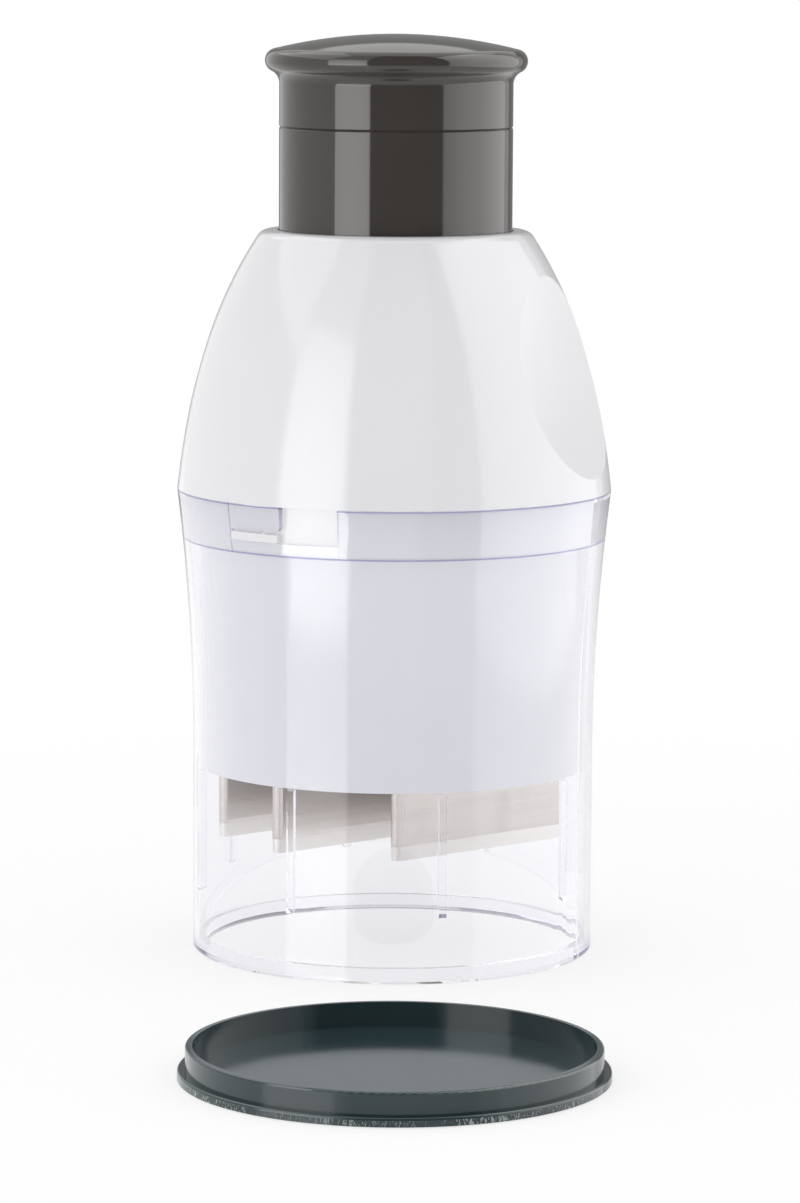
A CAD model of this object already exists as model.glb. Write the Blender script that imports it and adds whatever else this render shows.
"""Plunger food chopper: finishes, return coil, studio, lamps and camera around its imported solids."""

import logging
import math
from abc import ABC, abstractmethod
from dataclasses import dataclass, field, replace
from enum import Enum

import bpy
from mathutils import Matrix, Vector


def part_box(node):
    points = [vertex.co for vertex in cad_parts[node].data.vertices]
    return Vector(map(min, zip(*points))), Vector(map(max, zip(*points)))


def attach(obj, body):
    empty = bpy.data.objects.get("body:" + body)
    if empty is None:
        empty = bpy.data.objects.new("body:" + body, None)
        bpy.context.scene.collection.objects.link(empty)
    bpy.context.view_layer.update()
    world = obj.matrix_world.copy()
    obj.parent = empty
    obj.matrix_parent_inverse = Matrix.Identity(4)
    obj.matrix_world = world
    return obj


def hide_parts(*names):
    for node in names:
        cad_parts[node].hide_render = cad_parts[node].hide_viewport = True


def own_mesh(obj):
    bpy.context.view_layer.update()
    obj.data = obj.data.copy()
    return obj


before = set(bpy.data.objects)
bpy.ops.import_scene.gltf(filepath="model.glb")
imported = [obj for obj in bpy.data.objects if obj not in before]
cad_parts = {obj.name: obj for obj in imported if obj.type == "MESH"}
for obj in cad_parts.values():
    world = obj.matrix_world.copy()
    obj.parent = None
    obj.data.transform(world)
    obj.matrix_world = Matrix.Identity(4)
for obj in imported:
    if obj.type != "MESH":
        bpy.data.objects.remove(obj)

logging.basicConfig(level=logging.INFO, format="%(message)s")
log = logging.getLogger("chopper")

Triple = tuple[float, float, float]
Colour = Triple
Span = tuple[float, float]
Socket = bpy.types.NodeSocket
Value = float | Socket

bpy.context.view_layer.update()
MM = 0.001
# In radians.
FULL_TURN = 2 * math.pi
# In degrees.
RIGHT_ANGLE = 90.0
EVEN = (1.0, 1.0, 1.0)
WHITE_LIGHT = (1.0, 1.0, 1.0)
# A ray's depths are whole numbers: above this it has bounced or passed at least once.
ONE_BOUNCE = 0.5
# Distance over which the edge of a level on a surface fades, to either side.
EDGE_BLUR = 0.05 * MM
# Middle of a lamp's face, whose own coordinates run from 0 to 1.
FACE_MIDDLE = 0.5
# Sockets of the Mix node.
FACTOR = 0
VALUE_A, VALUE_B, VALUE_RESULT = 2, 3, 0
COLOUR_A, COLOUR_B, COLOUR_RESULT = 6, 7, 2


class Grain(Enum):
    """Direction in which a brushed or drawn grain runs."""

    UPRIGHT = (1.0, 1.0, 0.02)
    LEVEL = (0.03, 0.03, 1.0)


class Axis(Enum):
    """Axis of a vector, with the name of its socket."""

    X = "X"
    Y = "Y"
    Z = "Z"


class Space(Enum):
    """Coordinates of what is shaded, with the name of their socket: on an object, on a lamp's face or in the world."""

    OBJECT = "Object"
    FACE = "UV"
    DIRECTION = "Generated"


class Ray(Enum):
    """Kinds and depths of a ray, with the names of their sockets."""

    CAMERA = "Is Camera Ray"
    SHADOW = "Is Shadow Ray"
    DIFFUSE = "Is Diffuse Ray"
    GLOSSY = "Is Glossy Ray"
    TRANSMISSION = "Is Transmission Ray"
    DEPTH = "Ray Depth"
    GLOSSY_DEPTH = "Glossy Depth"
    TRANSMISSION_DEPTH = "Transmission Depth"


@dataclass(frozen=True)
class Pattern:
    """Noise pattern with its waves per metre, its finer layers and its stretch along X, Y and Z."""

    scale: float
    detail: float
    stretch: Triple = EVEN


def opaque(colour: Colour) -> tuple[float, float, float, float]:
    """Returns the colour with full cover."""
    return (*colour, 1.0)


# ---- Shader graphs ----
@dataclass
class Graph:
    """Node graph with short calls for the nodes that the finishes and the studio share."""

    tree: bpy.types.NodeTree

    def node(self, kind: str, **values: object) -> bpy.types.Node:
        """Adds a node.

        Args:
            kind: Blender's name of the node type.
            values: attributes of the node, such as operation.

        Returns:
            The new node.
        """
        made = self.tree.nodes.new(kind)
        for name, value in values.items():
            setattr(made, name, value)
        return made

    def link(self, source: Socket, target: Socket) -> None:
        """Joins two sockets."""
        self.tree.links.new(source, target)

    def feed(self, target: Socket, value: Value) -> None:
        """Sets a socket to a number or joins it to another socket.

        Args:
            target: the socket.
            value: the number or the other socket.
        """
        if isinstance(value, Socket):
            self.link(value, target)
        else:
            target.default_value = value

    def math(self, operation: str, *values: Value) -> Socket:
        """Adds a Math node.

        Args:
            operation: Blender's name of the operation.
            values: numbers or sockets to work on.

        Returns:
            The result's socket.
        """
        made = self.node("ShaderNodeMath", operation=operation)
        for socket, value in zip(made.inputs, values):
            self.feed(socket, value)
        return made.outputs[0]

    def product(self, first: Socket, *others: Value) -> Socket:
        """Multiplies values.

        Args:
            first: the first socket.
            others: the numbers or sockets that multiply it.

        Returns:
            The product's socket.
        """
        for other in others:
            first = self.math("MULTIPLY", first, other)
        return first

    def ramp(self, source: Socket, span: Span, result: Span) -> Socket:
        """Maps a span of values smoothly onto a span of results.

        Args:
            source: the value's socket.
            span: values where the ramp starts and ends.
            result: results at those values.

        Returns:
            The result's socket.
        """
        made = self.node("ShaderNodeMapRange", interpolation_type="SMOOTHSTEP")
        for name, value in zip(("From Min", "From Max", "To Min", "To Max"), (*span, *result)):
            made.inputs[name].default_value = value
        self.link(source, made.inputs["Value"])
        return made.outputs["Result"]

    def spread(self, source: Socket, low: float, high: float) -> Socket:
        """Maps a value from 0 to 1 onto low to high.

        Args:
            source: the value's socket.
            low: result at 0.
            high: result at 1.

        Returns:
            The result's socket.
        """
        made = self.node("ShaderNodeMapRange")
        made.inputs["To Min"].default_value = low
        made.inputs["To Max"].default_value = high
        self.link(source, made.inputs["Value"])
        return made.outputs["Result"]

    def choose(self, share: Socket, low: Value, high: Value) -> Socket:
        """Blends two values.

        Args:
            share: share of high.
            low: result at 0.
            high: result at 1.

        Returns:
            The result's socket.
        """
        made = self.node("ShaderNodeMix")
        self.link(share, made.inputs[FACTOR])
        self.feed(made.inputs[VALUE_A], low)
        self.feed(made.inputs[VALUE_B], high)
        return made.outputs[VALUE_RESULT]

    def coordinates(self, space: Space) -> Socket:
        """Returns the socket of a kind of coordinates."""
        return self.node("ShaderNodeTexCoord").outputs[space.value]

    def part(self, vector: Socket, axis: Axis) -> Socket:
        """Takes one part of a vector.

        Args:
            vector: the vector's socket.
            axis: axis that the part runs along.

        Returns:
            The part's socket.
        """
        made = self.node("ShaderNodeSeparateXYZ")
        self.link(vector, made.inputs[0])
        return made.outputs[axis.value]

    def noise(self, pattern: Pattern) -> Socket:
        """Noise in the object's own space.

        Args:
            pattern: scale, detail and stretch of the noise.

        Returns:
            The socket with the noise's value from 0 to 1.
        """
        mapping = self.node("ShaderNodeMapping")
        mapping.inputs["Scale"].default_value = pattern.stretch
        self.link(self.coordinates(Space.OBJECT), mapping.inputs["Vector"])
        made = self.node("ShaderNodeTexNoise")
        made.inputs["Scale"].default_value = pattern.scale
        made.inputs["Detail"].default_value = pattern.detail
        self.link(mapping.outputs["Vector"], made.inputs["Vector"])
        return made.outputs["Fac"]

    def uneven(self, pattern: Pattern, value: float, shares: Span) -> Socket:
        """Varies a value over the surface by a noise pattern, from the first of two shares of it to the second."""
        low, high = shares
        return self.spread(self.noise(pattern), low * value, high * value)

    def tone(self, source: Socket, dark: Colour, light: Colour) -> Socket:
        """Blends two colours by a value.

        Args:
            source: the value's socket.
            dark: colour at 0.
            light: colour at 1.

        Returns:
            The colour's socket.
        """
        made = self.node("ShaderNodeMix", data_type="RGBA")
        made.inputs[COLOUR_A].default_value = opaque(dark)
        made.inputs[COLOUR_B].default_value = opaque(light)
        self.link(source, made.inputs[FACTOR])
        return made.outputs[COLOUR_RESULT]

    def mottle(self, source: Socket, colour: Colour, variation: float) -> Socket:
        """Varies a colour by a value.

        Args:
            source: the value's socket.
            colour: the colour to vary.
            variation: share by which it is darker at 0 and lighter at 1.

        Returns:
            The colour's socket.
        """
        darker = tuple(channel * (1 - variation) for channel in colour)
        lighter = tuple(min(1.0, channel * (1 + variation)) for channel in colour)
        return self.tone(source, darker, lighter)

    def overlay(self, share: Socket, under: Socket, over: Colour) -> Socket:
        """Lays a plain colour over a colour.

        Args:
            share: share of the plain colour.
            under: the colour's socket.
            over: the plain colour.

        Returns:
            The colour's socket.
        """
        made = self.node("ShaderNodeMix", data_type="RGBA")
        self.link(share, made.inputs[FACTOR])
        self.link(under, made.inputs[COLOUR_A])
        made.inputs[COLOUR_B].default_value = opaque(over)
        return made.outputs[COLOUR_RESULT]

    def level(self, height: float, reach: float) -> Socket:
        """Value of 1 on the object near a height and 0 elsewhere, with a crisp edge.

        Args:
            height: the height in metres.
            reach: how far above and below the height the value is 1, in metres.

        Returns:
            The value's socket.
        """
        above = self.math("SUBTRACT", self.part(self.coordinates(Space.OBJECT), Axis.Z), height)
        away = self.math("ABSOLUTE", above)
        return self.ramp(away, (reach - EDGE_BLUR, reach + EDGE_BLUR), (1.0, 0.0))

    def bump(self, height: Socket, strength: float, distance: float, under: Socket | None = None) -> Socket:
        """Bump from a height.

        Args:
            height: the height's socket.
            strength: share of the bump that shows.
            distance: depth in metres.
            under: normal of a broader bump below this one, if there is one.

        Returns:
            The normal's socket.
        """
        made = self.node("ShaderNodeBump")
        made.inputs["Strength"].default_value = strength
        made.inputs["Distance"].default_value = distance
        self.link(height, made.inputs["Height"])
        if under is not None:
            self.link(under, made.inputs["Normal"])
        return made.outputs["Normal"]

    def principled(self, **values: object) -> bpy.types.Node:
        """Adds a Principled shader.

        Args:
            values: socket names, with underscores for spaces, and their plain values.

        Returns:
            The shader node.
        """
        made = self.node("ShaderNodeBsdfPrincipled")
        for name, value in values.items():
            made.inputs[name.replace("_", " ")].default_value = value
        return made

    def tinted(self, kind: str, colour: Colour) -> bpy.types.Node:
        """Adds a shader of one plain colour.

        Args:
            kind: Blender's name of the node type.
            colour: the shader's colour.

        Returns:
            The shader node.
        """
        made = self.node(kind)
        made.inputs["Color"].default_value = opaque(colour)
        return made

    def ray(self, kind: Ray) -> Socket:
        """Returns the socket that is 1 for a kind of ray, or the one of a depth."""
        return self.node("ShaderNodeLightPath").outputs[kind.value]

    def passed(self) -> Socket:
        """Value of 1 for rays that have passed into a clear wall."""
        return self.math("GREATER_THAN", self.ray(Ray.TRANSMISSION_DEPTH), ONE_BOUNCE)

    def mix(self, share: Socket, first: bpy.types.Node, second: bpy.types.Node) -> bpy.types.Node:
        """Mixes two shaders.

        Args:
            share: share of the second shader.
            first: shader node that shows at 0.
            second: shader node that shows at 1.

        Returns:
            The mixing node.
        """
        made = self.node("ShaderNodeMixShader")
        self.link(share, made.inputs[0])
        self.link(first.outputs[0], made.inputs[1])
        self.link(second.outputs[0], made.inputs[2])
        return made


@dataclass
class SurfaceGraph(Graph):
    """Node graph of one new material."""

    tree: bpy.types.NodeTree = field(init=False)
    name: str = field(kw_only=True)

    def __post_init__(self) -> None:
        """Makes an empty material with an output node."""
        self.material = bpy.data.materials.new(self.name)
        self.material.use_nodes = True
        self.tree = self.material.node_tree
        self.tree.nodes.clear()
        self.output = self.node("ShaderNodeOutputMaterial")

    def finish(self, shader: bpy.types.Node) -> bpy.types.Material:
        """Shows a shader on the surface and returns the material."""
        self.link(shader.outputs[0], self.output.inputs["Surface"])
        return self.material


# ---- Kinds of finish ----
@dataclass(frozen=True)
class MouldedPlastic:
    """Opaque moulded plastic with faint sink ripples, uneven gloss and colour.

    It may have a fine grain, and scuffs up to a height of the object. Where it is unmirrored, it doesn't show in what
    the clear wall's far side mirrors.
    """

    name: str
    colour: Colour
    roughness: float
    variation: float = 0.03
    cloud: Pattern = Pattern(35.0, 3.0)
    uneven_gloss: Span = (0.8, 1.2)
    smear: Pattern = Pattern(220.0, 4.0, (1.0, 1.0, 0.3))
    ripple: float = 0.05
    ripple_depth: float = 1.0 * MM
    wave: Pattern = Pattern(60.0, 1.0, (1.0, 1.0, 0.6))
    grain: float = 0.0
    grain_depth: float = 0.1 * MM
    grain_pattern: Pattern = Pattern(2500.0, 2.0)
    ior: float = 1.5
    scuffed_top: float = 0.0
    scuff: Colour = (0.32, 0.36, 0.36)
    ticks: Pattern = Pattern(2600.0, 2.0, (1.0, 1.0, 0.35))
    tick_span: Span = (0.52, 0.64)
    patches: Pattern = Pattern(55.0, 2.0)
    patch_span: Span = (0.38, 0.60)
    patch_share: Span = (0.1, 0.9)
    unmirrored: bool = False

    def scuffs(self, graph: Graph) -> Socket:
        """Share of scuffs on the surface: short ticks in patches, up to the scuffed height.

        Args:
            graph: graph of the material.

        Returns:
            The share's socket.
        """
        ticks = graph.ramp(graph.noise(self.ticks), self.tick_span, (0.0, 1.0))
        patches = graph.ramp(graph.noise(self.patches), self.patch_span, self.patch_share)
        return graph.product(ticks, patches, graph.level(0.0, self.scuffed_top))

    def relief(self, graph: Graph) -> Socket:
        """Ripples of the surface and, where it has one, its grain.

        Args:
            graph: graph of the material.

        Returns:
            The normal's socket.
        """
        normal = graph.bump(graph.noise(self.wave), self.ripple, self.ripple_depth)
        if self.grain:
            normal = graph.bump(graph.noise(self.grain_pattern), self.grain, self.grain_depth, normal)
        return normal

    def material(self) -> bpy.types.Material:
        """Makes the material.

        Returns:
            The new material.
        """
        graph = SurfaceGraph(name=self.name)
        shader = graph.principled(IOR=self.ior)
        colour = graph.mottle(graph.noise(self.cloud), self.colour, self.variation)
        if self.scuffed_top:
            colour = graph.overlay(self.scuffs(graph), colour, self.scuff)
        graph.link(colour, shader.inputs["Base Color"])
        graph.link(graph.uneven(self.smear, self.roughness, self.uneven_gloss), shader.inputs["Roughness"])
        graph.link(self.relief(graph), shader.inputs["Normal"])
        if self.unmirrored:
            mirrored = graph.product(graph.passed(), graph.ray(Ray.GLOSSY))
            shader = graph.mix(mirrored, shader, graph.node("ShaderNodeBsdfTransparent"))
        return graph.finish(shader)


@dataclass(frozen=True)
class ClearPlastic:
    """Polished clear moulding that bends light and lets lamps reach what is behind it.

    Light that has bent several times inside it goes straight on, and a long way through it turns lavender. In the
    mirrors of other surfaces it is an even pale tone. The mould's edges show as fine darker lines, which reach a
    little above and below their heights.
    """

    name: str
    tint: Colour
    shade: Colour
    roughness: float
    ior: float
    ripple: float
    ripple_depth: float = 1.0 * MM
    wave: Pattern = Pattern(45.0, 1.0, (1.0, 1.0, 0.5))
    lighter: float = 1.01
    cloud: Pattern = Pattern(40.0, 2.0, (1.0, 1.0, 0.4))
    uneven_gloss: Span = (0.5, 1.5)
    smear: Pattern = Pattern(180.0, 3.0, (1.0, 1.0, 0.2))
    body: Colour = (0.66, 0.65, 0.77)
    density: float = 55.0
    bends: float = 4.5
    mirrored: Colour = (0.64, 0.65, 0.68)
    line: Colour = (0.50, 0.50, 0.72)
    line_heights: tuple[float, ...] = ()
    line_reach: float = 0.2 * MM

    def glass(self, graph: Graph) -> bpy.types.Node:
        """Makes the shader of the polished surface.

        Args:
            graph: graph of the material.

        Returns:
            The shader node.
        """
        made = graph.principled(Transmission_Weight=1.0, IOR=self.ior)
        lighter = tuple(min(1.0, channel * self.lighter) for channel in self.tint)
        colour = graph.tone(graph.noise(self.cloud), self.tint, lighter)
        for height in self.line_heights:
            colour = graph.overlay(graph.level(height, self.line_reach), colour, self.line)
        graph.link(colour, made.inputs["Base Color"])
        graph.link(graph.uneven(self.smear, self.roughness, self.uneven_gloss), made.inputs["Roughness"])
        graph.link(graph.bump(graph.noise(self.wave), self.ripple, self.ripple_depth), made.inputs["Normal"])
        return made

    def material(self) -> bpy.types.Material:
        """Makes the material.

        Returns:
            The new material.
        """
        graph = SurfaceGraph(name=self.name)
        body = graph.tinted("ShaderNodeVolumeAbsorption", self.body)
        body.inputs["Density"].default_value = self.density
        graph.link(body.outputs[0], graph.output.inputs["Volume"])
        outside = graph.math("LESS_THAN", graph.ray(Ray.TRANSMISSION_DEPTH), ONE_BOUNCE)
        mirrors = graph.product(outside, graph.ray(Ray.GLOSSY))
        wall = graph.mix(mirrors, self.glass(graph), graph.tinted("ShaderNodeEmission", self.mirrored))
        lamps = graph.math("MAXIMUM", graph.ray(Ray.SHADOW), graph.ray(Ray.DIFFUSE))
        bent = graph.math("GREATER_THAN", graph.ray(Ray.DEPTH), self.bends)
        film = graph.tinted("ShaderNodeBsdfTransparent", self.shade)
        return graph.finish(graph.mix(graph.math("MAXIMUM", lamps, bent), wall, film))


@dataclass(frozen=True)
class Steel:
    """Steel with a fine directed grain and uneven polish. Up to a height it may be ground lighter and duller."""

    name: str
    colour: Colour
    roughness: float
    grain_axis: Grain = Grain.LEVEL
    grain: float = 0.15
    grain_scale: float = 900.0
    grain_detail: float = 4.0
    grain_depth: float = 0.05 * MM
    variation: float = 0.08
    uneven_polish: Span = (0.8, 1.25)
    polish: Pattern = Pattern(120.0, 3.0)
    ground: Colour = (0.83, 0.80, 0.77)
    ground_top: float = 0.0
    ground_roughness: float = 0.5

    def material(self) -> bpy.types.Material:
        """Makes the material.

        Returns:
            The new material.
        """
        graph = SurfaceGraph(name=self.name)
        shader = graph.principled(Metallic=1.0)
        lines = graph.noise(Pattern(self.grain_scale, self.grain_detail, self.grain_axis.value))
        colour = graph.mottle(lines, self.colour, self.variation)
        polished = graph.uneven(self.polish, self.roughness, self.uneven_polish)
        if self.ground_top:
            edge = graph.level(0.0, self.ground_top)
            colour = graph.overlay(edge, colour, self.ground)
            polished = graph.choose(edge, polished, self.ground_roughness)
        graph.link(colour, shader.inputs["Base Color"])
        graph.link(polished, shader.inputs["Roughness"])
        graph.link(graph.bump(lines, self.grain, self.grain_depth), shader.inputs["Normal"])
        return graph.finish(shader)


Finish = MouldedPlastic | ClearPlastic | Steel


def material_of(finish: Finish) -> bpy.types.Material:
    """Returns the material of a finish, made the first time it is asked for."""
    return bpy.data.materials.get(finish.name) or finish.material()


# ---- Finishes of this chopper ----
CLEAR = ClearPlastic(
    "clear_styrene", tint=(0.975, 0.975, 0.982), shade=(0.95, 0.95, 0.97), roughness=0.01, ior=1.57, ripple=0.004
)
WHITE = MouldedPlastic("housing_white", (0.84, 0.84, 0.86), roughness=0.12, variation=0.01, ripple=0.03)
SLEEVE = MouldedPlastic("sleeve_white", (0.87, 0.873, 0.887), roughness=0.1, variation=0.01, ripple=0.03, ior=1.62)
INNER = MouldedPlastic("inner_white", (0.78, 0.78, 0.78), roughness=0.4, variation=0.02, ripple=0.02)
GREY = MouldedPlastic("barrel_grey", (0.043, 0.038, 0.035), roughness=0.06, variation=0.05, ripple=0.02)
ACETAL = MouldedPlastic("acetal_natural", (0.72, 0.71, 0.66), roughness=0.35)
GREEN = MouldedPlastic(
    "lid_green_grey",
    (0.019, 0.034, 0.038),
    roughness=0.13,
    variation=0.08,
    ripple=0.04,
    grain=0.05,
    unmirrored=True,
)
ROLLED = Steel("rolled_steel", (0.66, 0.618, 0.587), roughness=0.2)
ZINC = Steel("zinc_plate", (0.62, 0.62, 0.64), roughness=0.3, grain_axis=Grain.UPRIGHT, grain=0.05)
DRAWN = Steel("spring_wire", (0.45, 0.45, 0.46), roughness=0.3, grain_axis=Grain.UPRIGHT, grain=0.05)


# ---- Sub-assemblies ----
@dataclass
class SubAssembly(ABC):
    """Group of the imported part's nodes that belong together. Its sizes are those that its looks need."""

    @abstractmethod
    def finishes(self) -> dict[str, Finish]:
        """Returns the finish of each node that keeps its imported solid."""

    def build(self) -> list[bpy.types.Object]:
        """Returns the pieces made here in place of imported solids, which are none unless a sub-assembly has its own."""
        return []

    def dress(self) -> list[bpy.types.Object]:
        """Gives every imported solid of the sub-assembly its finish.

        Returns:
            The solids' objects.
        """
        dressed: list[bpy.types.Object] = []
        for node, finish in self.finishes().items():
            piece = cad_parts[node]
            piece.data.materials.clear()
            piece.data.materials.append(material_of(finish))
            dressed.append(piece)
        return dressed


@dataclass
class Container(SubAssembly):
    """Clear tube. Mould edges show at the foot of the bayonet's sockets and at the top of the collar."""

    socket_foot: float = 96.3 * MM
    collar_top: float = 107.2 * MM

    def finishes(self) -> dict[str, Finish]:
        """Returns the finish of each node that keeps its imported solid."""
        return {"container": replace(CLEAR, line_heights=(self.socket_foot, self.collar_top))}


@dataclass
class Housing(SubAssembly):
    """White shell with the guide ring, the chassis, the index crown and the guard's retainer inside it."""

    def finishes(self) -> dict[str, Finish]:
        """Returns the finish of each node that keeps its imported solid."""
        return {
            "housing_shell": WHITE,
            "guide_ring": INNER,
            "chassis": INNER,
            "chassis_screws": ZINC,
            "index_crown": ACETAL,
            "crown_screws": ZINC,
            "guard_retainer": INNER,
        }


@dataclass
class Plunger(SubAssembly):
    """Grey knob and barrel on the stem, with a return coil that closes up as the knob is pressed.

    The coil's upper end stays on the barrel's web and its lower end on the chassis.
    """

    coil_turns: int = 9
    wire_radius: float = 0.75 * MM
    stroke: float = 27.0 * MM
    turn_steps: int = 48
    wire_sides: int = 12

    def finishes(self) -> dict[str, Finish]:
        """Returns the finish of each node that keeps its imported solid."""
        return {"push_barrel": GREY, "knob_cap": GREY, "plunger_stem": ACETAL, "stem_pin": ZINC}

    def wire_ring(self, angle: float, radius: float, height: float, lead: float) -> list[Vector]:
        """Points round the wire at one place along the coil.

        Args:
            angle: turn about the coil's axis, in radians.
            radius: distance from the coil's axis to the wire's middle.
            height: height of the wire's middle.
            lead: rise of the wire per radian of turn.

        Returns:
            The points, in order round the wire.
        """
        outward = Vector((math.cos(angle), math.sin(angle), 0.0))
        along = Vector((-radius * math.sin(angle), radius * math.cos(angle), lead)).normalized()
        upward = outward.cross(along)
        middle = radius * outward + Vector((0.0, 0.0, height))
        turns = [FULL_TURN * side / self.wire_sides for side in range(self.wire_sides)]
        return [middle + self.wire_radius * (math.cos(turn) * outward + math.sin(turn) * upward) for turn in turns]

    def coil_mesh(self, low: Vector, high: Vector) -> bpy.types.Mesh:
        """Makes the coil's mesh.

        Args:
            low: lowest corner of the coil's box.
            high: highest corner of the coil's box.

        Returns:
            The mesh: a smooth wire with a flat face at each end.
        """
        sides = self.wire_sides
        steps = self.coil_turns * self.turn_steps
        radius = high.x - self.wire_radius
        start = low.z + self.wire_radius
        lead = (high.z - low.z - 2 * self.wire_radius) / (FULL_TURN * self.coil_turns)
        points: list[Vector] = []
        for step in range(steps + 1):
            angle = FULL_TURN * step / self.turn_steps
            points += self.wire_ring(angle, radius, start + lead * angle, lead)
        faces = [tuple(range(sides)), tuple(steps * sides + side for side in reversed(range(sides)))]
        for step in range(steps):
            for side in range(sides):
                first = step * sides + side
                second = step * sides + (side + 1) % sides
                faces.append((first, first + sides, second + sides, second))
        mesh = bpy.data.meshes.new("return_coil")
        mesh.from_pydata(points, [], faces)
        mesh.polygons.foreach_set("use_smooth", [len(face) < sides for face in faces])
        return mesh

    def build(self) -> list[bpy.types.Object]:
        """Makes the return coil in place of its rigid solid.

        Returns:
            The coil's object.
        """
        low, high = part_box("return_spring")
        mesh = self.coil_mesh(low, high)
        mesh.materials.append(material_of(DRAWN))
        coil = bpy.data.objects.new("return_coil", mesh)
        bpy.context.scene.collection.objects.link(coil)
        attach(coil, "plunger")
        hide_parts("return_spring")
        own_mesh(coil)
        return [coil]


@dataclass
class BladeUnit(SubAssembly):
    """Zigzag blade, ground along its lower edge, on its carrier and shaft, with the index rotor above."""

    ground_top: float = 30.5 * MM

    def finishes(self) -> dict[str, Finish]:
        """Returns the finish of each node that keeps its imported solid."""
        return {
            "zigzag_blade": replace(ROLLED, ground_top=self.ground_top),
            "blade_carrier": INNER,
            "blade_shaft": DRAWN,
            "hub_pin": ZINC,
            "index_rotor": ACETAL,
            "thrust_washer": ZINC,
            "shaft_circlip": DRAWN,
        }


@dataclass
class Guard(SubAssembly):
    """White sleeve round the blade and the wiper plate at its lower end."""

    def finishes(self) -> dict[str, Finish]:
        """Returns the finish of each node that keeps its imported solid."""
        return {"guard_sleeve": SLEEVE, "wiper_plate": SLEEVE}


@dataclass
class Lid(SubAssembly):
    """Dark green dish that closes the container's lower end, scuffed along its flange."""

    scuffed_top: float = 1.3 * MM

    def finishes(self) -> dict[str, Finish]:
        """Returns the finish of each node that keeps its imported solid."""
        return {"lid": replace(GREEN, scuffed_top=self.scuffed_top)}


# ---- Studio ----
@dataclass
class View:
    """Camera of the studio: a long lens a little above the object, turned to see one grip from the side.

    Its place is in metres and its angles are in degrees. Its focal length is in pixels of the frame, whose longer side
    has frame_pixels, and its sensor is in millimetres.
    """

    azimuth: float = 23.0
    distance: float = 1.149
    height: float = 0.2339
    tilt: float = 7.59
    yaw: float = 0.0737
    roll: float = 0.317
    focal_pixels: float = 5000.0
    frame_pixels: float = 1203.0
    sensor: float = 36.0

    def build(self) -> bpy.types.Object:
        """Makes the camera.

        Returns:
            The camera's object.
        """
        data = bpy.data.cameras.new("camera")
        data.sensor_width = self.sensor
        data.lens = self.focal_pixels / self.frame_pixels * self.sensor
        camera = bpy.data.objects.new("camera", data)
        bpy.context.scene.collection.objects.link(camera)
        turn = Matrix.Rotation(math.radians(self.azimuth), 4, "Z")
        place = turn @ Matrix.Translation((0.0, -self.distance, self.height))
        aim = Matrix.Rotation(math.radians(-self.yaw), 4, "Z")
        aim @= Matrix.Rotation(math.radians(RIGHT_ANGLE - self.tilt), 4, "X")
        aim @= Matrix.Rotation(math.radians(self.roll), 4, "Z")
        camera.matrix_world = place @ aim
        bpy.context.scene.camera = camera
        return camera


@dataclass
class Softbox:
    """Rectangular lamp that stands upright round the object and faces it.

    Its azimuth is measured from the camera's side, in degrees, and its lengths are in metres. The brightness of its
    fabric changes from its lower to its upper end and fades toward its upright edges. All three are shares of its
    radiance.
    """

    name: str
    azimuth: float
    distance: float
    width: float
    bottom: float
    top: float
    radiance: float
    fill: float
    low: float = 1.0
    high: float = 1.0
    edge: float = 1.0
    edge_fade: Span = (0.1, 0.5)

    def build(self, front: float) -> None:
        """Makes a lamp that glossy surfaces mirror and one that lights the matt colours.

        Args:
            front: azimuth of the camera about the object, in degrees.
        """
        mirrored = self.lamp("mirrored", self.radiance, front)
        mirrored.visible_diffuse = False
        fill = self.lamp("fill", self.fill, front)
        fill.visible_glossy = False
        fill.visible_transmission = False

    def lamp(self, part: str, radiance: float, front: float) -> bpy.types.Object:
        """Makes one lamp of the softbox.

        Args:
            part: end of the lamp's name.
            radiance: brightness of the lamp's face, where white is 1.
            front: azimuth of the camera about the object, in degrees.

        Returns:
            The lamp.
        """
        name = f"{self.name}_{part}"
        data = bpy.data.lights.new(name, "AREA")
        data.shape = "RECTANGLE"
        data.size = self.width
        data.size_y = self.top - self.bottom
        data.energy = radiance * math.pi * data.size * data.size_y
        self.shade(data)
        lamp = bpy.data.objects.new(name, data)
        bpy.context.scene.collection.objects.link(lamp)
        turn = Matrix.Rotation(math.radians(front + self.azimuth), 4, "Z")
        place = Matrix.Translation((0.0, -self.distance, (self.bottom + self.top) / 2))
        face = Matrix.Rotation(math.radians(RIGHT_ANGLE), 4, "X")
        lamp.matrix_world = turn @ place @ face
        lamp.visible_camera = False
        return lamp

    def shade(self, data: bpy.types.AreaLight) -> None:
        """Shades the lamp's face over its height and toward its upright edges.

        Args:
            data: the lamp's data.
        """
        data.use_nodes = True
        graph = Graph(data.node_tree)
        graph.tree.nodes.clear()
        face = graph.coordinates(Space.FACE)
        aside = graph.math("ABSOLUTE", graph.math("SUBTRACT", graph.part(face, Axis.X), FACE_MIDDLE))
        across = graph.ramp(aside, self.edge_fade, (1.0, self.edge))
        upward = graph.spread(graph.part(face, Axis.Y), self.low, self.high)
        fabric = graph.node("ShaderNodeEmission")
        graph.link(graph.product(across, upward), fabric.inputs["Strength"])
        graph.link(fabric.outputs[0], graph.node("ShaderNodeOutputLight").inputs["Surface"])


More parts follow.
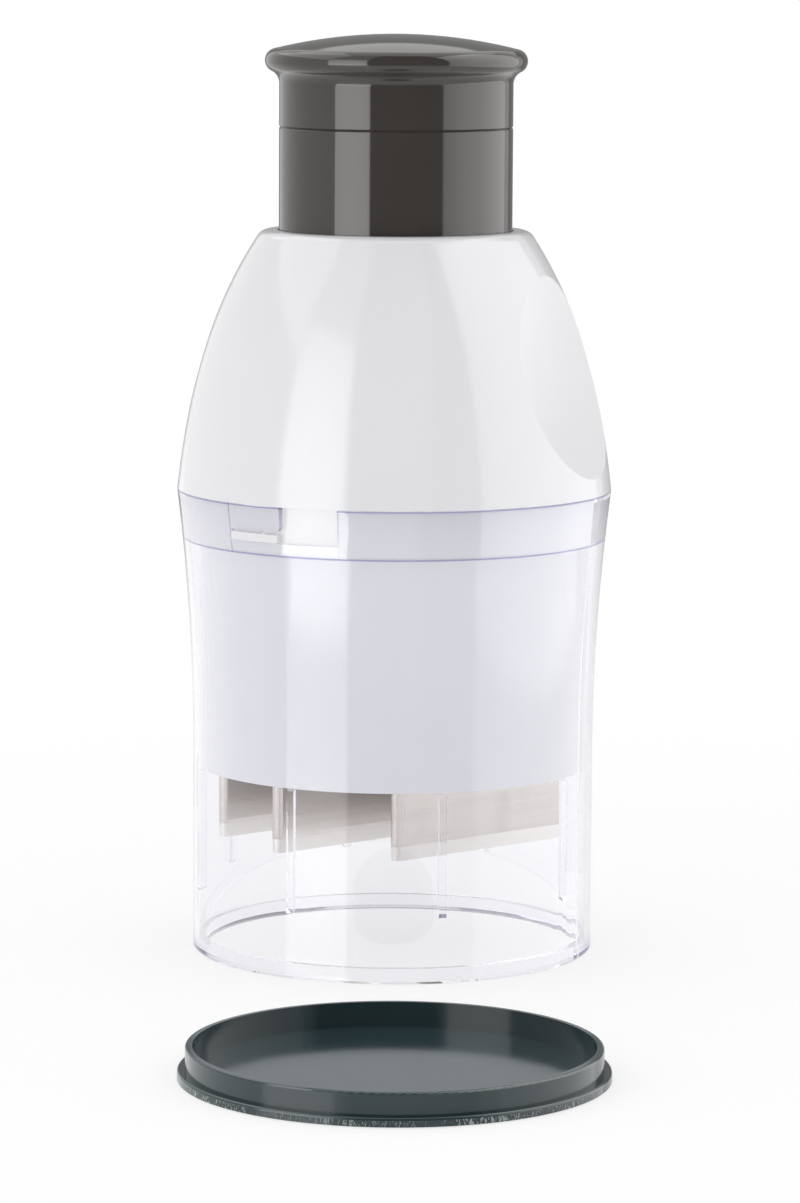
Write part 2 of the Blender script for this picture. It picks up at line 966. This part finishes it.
@dataclass
class Surroundings:
    """White room with a dark side behind the camera, a lit ceiling and a low dark strip behind the table.

    Its azimuth is the camera's about the object, in degrees, and the azimuths of its parts are measured from there.
    """

    azimuth: float
    ambient: float = 0.80
    white: float = 1.0
    front_shade: float = 0.10
    front_edges: tuple[float, float, float, float] = (-29.0, -24.0, 45.0, 50.0)
    back_shade: float = 0.3
    back_right: Span = (142.0, 150.0)
    back_left: Span = (160.0, 166.0)
    back_rise: Span = (0.34, 0.37)
    ceiling: float = 1.68
    ceiling_lean: float = 0.37
    ceiling_edge: Span = (0.85, 0.89)
    deep: float = 0.45
    deep_rays: Span = (4.0, 7.0)
    right_wall: float = 0.6
    right_edge: Span = (0.12, 0.3)

    def build(self) -> None:
        """Makes the world: white for what is seen straight or through the clear wall, the room in mirrors."""
        world = bpy.data.worlds.new("surroundings")
        bpy.context.scene.world = world
        world.use_nodes = True
        graph = Graph(world.node_tree)
        graph.tree.nodes.clear()
        direct = graph.math("LESS_THAN", graph.ray(Ray.GLOSSY_DEPTH), ONE_BOUNCE)
        mirrored = graph.choose(direct, self.room(graph), self.white)
        seen = graph.choose(graph.passed(), mirrored, self.through(graph))
        strength = graph.choose(graph.ray(Ray.DIFFUSE), seen, self.ambient)
        background = graph.tinted("ShaderNodeBackground", WHITE_LIGHT)
        graph.link(strength, background.inputs["Strength"])
        output = graph.node("ShaderNodeOutputWorld")
        graph.link(background.outputs[0], output.inputs["Surface"])

    def along(self, graph: Graph, azimuth: float) -> Socket:
        """Part of the ray's direction that points at an azimuth.

        Args:
            graph: graph of the world.
            azimuth: the azimuth, measured from the camera's side, in degrees.

        Returns:
            The part's socket.
        """
        angle = math.radians(self.azimuth + azimuth)
        made = graph.node("ShaderNodeVectorMath", operation="DOT_PRODUCT")
        made.inputs[1].default_value = (math.sin(angle), -math.cos(angle), 0.0)
        graph.link(graph.coordinates(Space.DIRECTION), made.inputs[0])
        return made.outputs["Value"]

    def through(self, graph: Graph) -> Socket:
        """Brightness behind the clear wall, which falls to the right and after many bends.

        Args:
            graph: graph of the world.

        Returns:
            The brightness's socket.
        """
        aside = graph.ramp(self.along(graph, RIGHT_ANGLE), self.right_edge, (self.white, self.right_wall))
        bends = graph.ramp(graph.ray(Ray.DEPTH), self.deep_rays, (self.white, self.deep))
        return graph.product(bends, aside)

    def room(self, graph: Graph) -> Socket:
        """Brightness of the room by direction, as glossy surfaces mirror it.

        Args:
            graph: graph of the world.

        Returns:
            The brightness's socket.
        """
        upward = graph.part(graph.coordinates(Space.DIRECTION), Axis.Z)
        forward = self.along(graph, 0.0)
        turn = graph.math("DEGREES", graph.math("ARCTAN2", self.along(graph, RIGHT_ANGLE), forward))
        start, dark_start, dark_end, end = self.front_edges
        entry = graph.ramp(turn, (start, dark_start), (self.white, self.front_shade))
        leave = graph.ramp(turn, (dark_end, end), (self.front_shade, self.white))
        front = graph.math("MAXIMUM", entry, leave)
        low = graph.ramp(upward, self.back_rise, (self.back_shade, self.white))
        right = graph.ramp(turn, self.back_right, (0.0, 1.0))
        left = graph.ramp(graph.product(turn, -1.0), self.back_left, (0.0, 1.0))
        walls = graph.choose(graph.math("MAXIMUM", right, left), front, low)
        above = graph.math("SUBTRACT", upward, graph.product(forward, self.ceiling_lean))
        return graph.choose(graph.ramp(above, self.ceiling_edge, (0.0, 1.0)), walls, self.ceiling)


@dataclass
class Studio:
    """Pale floor, the room around it and the softboxes.

    Seen straight or through the clear wall, the floor is white and takes some light near the object, which keeps the
    object's shadow. The object is lit by a bright card in its place. Mirrors show that card near the object and the
    room beyond it, and mirrors inside the clear wall show it white.
    """

    view: View
    softboxes: tuple[Softbox, ...]
    floor_size: float = 16.0
    floor_drop: float = 0.2 * MM
    floor_glow: float = 0.68
    floor_lit: float = 1.15
    shadow_reach: Span = (0.16, 0.42)
    card_albedo: float = 0.9
    card_glow: float = 0.32
    card_roughness: float = 0.08
    card_ior: float = 1.5
    card_edge: Span = (0.4, 0.85)

    def build(self) -> None:
        """Makes the surroundings, the floor, the lamps and the camera."""
        self.view.build()
        Surroundings(self.view.azimuth).build()
        self.floor()
        for softbox in self.softboxes:
            softbox.build(self.view.azimuth)
        bpy.context.scene.view_settings.view_transform = "Standard"

    def card(self, graph: Graph) -> bpy.types.Node:
        """Makes the shader of the bright card.

        Args:
            graph: graph of the floor's material.

        Returns:
            The shader node.
        """
        made = graph.principled(Roughness=self.card_roughness, IOR=self.card_ior)
        made.inputs["Base Color"].default_value = opaque((self.card_albedo,) * 3)
        made.inputs["Emission Color"].default_value = opaque(WHITE_LIGHT)
        made.inputs["Emission Strength"].default_value = self.card_glow
        return made

    def surface(self) -> bpy.types.Material:
        """Makes the floor's material.

        Returns:
            The new material.
        """
        graph = SurfaceGraph(name="floor_white")
        glow = graph.node("ShaderNodeEmission")
        matt = graph.tinted("ShaderNodeBsdfDiffuse", (self.floor_lit,) * 3)
        reach = graph.node("ShaderNodeVectorMath", operation="LENGTH")
        graph.link(graph.node("ShaderNodeNewGeometry").outputs["Position"], reach.inputs[0])
        away = reach.outputs["Value"]
        shown = graph.mix(graph.ramp(away, self.shadow_reach, (self.floor_glow, 1.0)), matt, glow)
        mirror = graph.ray(Ray.GLOSSY)
        near = graph.mix(graph.product(graph.passed(), mirror), self.card(graph), glow)
        beyond = graph.product(graph.ramp(away, self.card_edge, (0.0, 1.0)), mirror)
        table = graph.mix(beyond, near, graph.node("ShaderNodeBsdfTransparent"))
        direct = graph.math("MAXIMUM", graph.ray(Ray.CAMERA), graph.ray(Ray.TRANSMISSION))
        return graph.finish(graph.mix(direct, table, shown))

    def floor(self) -> None:
        """Makes the level floor."""
        half = self.floor_size / 2
        mesh = bpy.data.meshes.new("floor")
        corners = [(-half, -half, 0.0), (half, -half, 0.0), (half, half, 0.0), (-half, half, 0.0)]
        mesh.from_pydata(corners, [], [(0, 1, 2, 3)])
        plane = bpy.data.objects.new("floor", mesh)
        bpy.context.scene.collection.objects.link(plane)
        plane.location.z = -self.floor_drop
        mesh.materials.append(self.surface())


SOFTBOXES = (
    Softbox(
        "left_softbox",
        azimuth=-43.0,
        distance=0.6,
        width=0.39,
        bottom=0.0,
        top=0.53,
        radiance=4.4,
        fill=2.9,
        high=0.4,
        edge=0.9,
    ),
    Softbox(
        "right_softbox",
        azimuth=88.8,
        distance=0.45,
        width=0.835,
        bottom=0.0,
        top=1.04,
        radiance=2.3,
        fill=0.95,
        low=0.75,
        high=1.3,
        edge=0.55,
    ),
    Softbox("left_bank", azimuth=-105.0, distance=1.0, width=1.8, bottom=0.75, top=2.6, radiance=1.2, fill=0.95),
)


def main() -> None:
    """Builds and dresses the sub-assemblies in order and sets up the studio."""
    for sub_assembly in (Container(), Housing(), Plunger(), BladeUnit(), Guard(), Lid()):
        for piece in sub_assembly.build() + sub_assembly.dress():
            log.info("%s: %s", piece.name, piece.data.materials[0].name)
    Studio(View(), SOFTBOXES).build()
    log.info("studio: %d softboxes", len(SOFTBOXES))


if __name__ == "__main__":
    main()
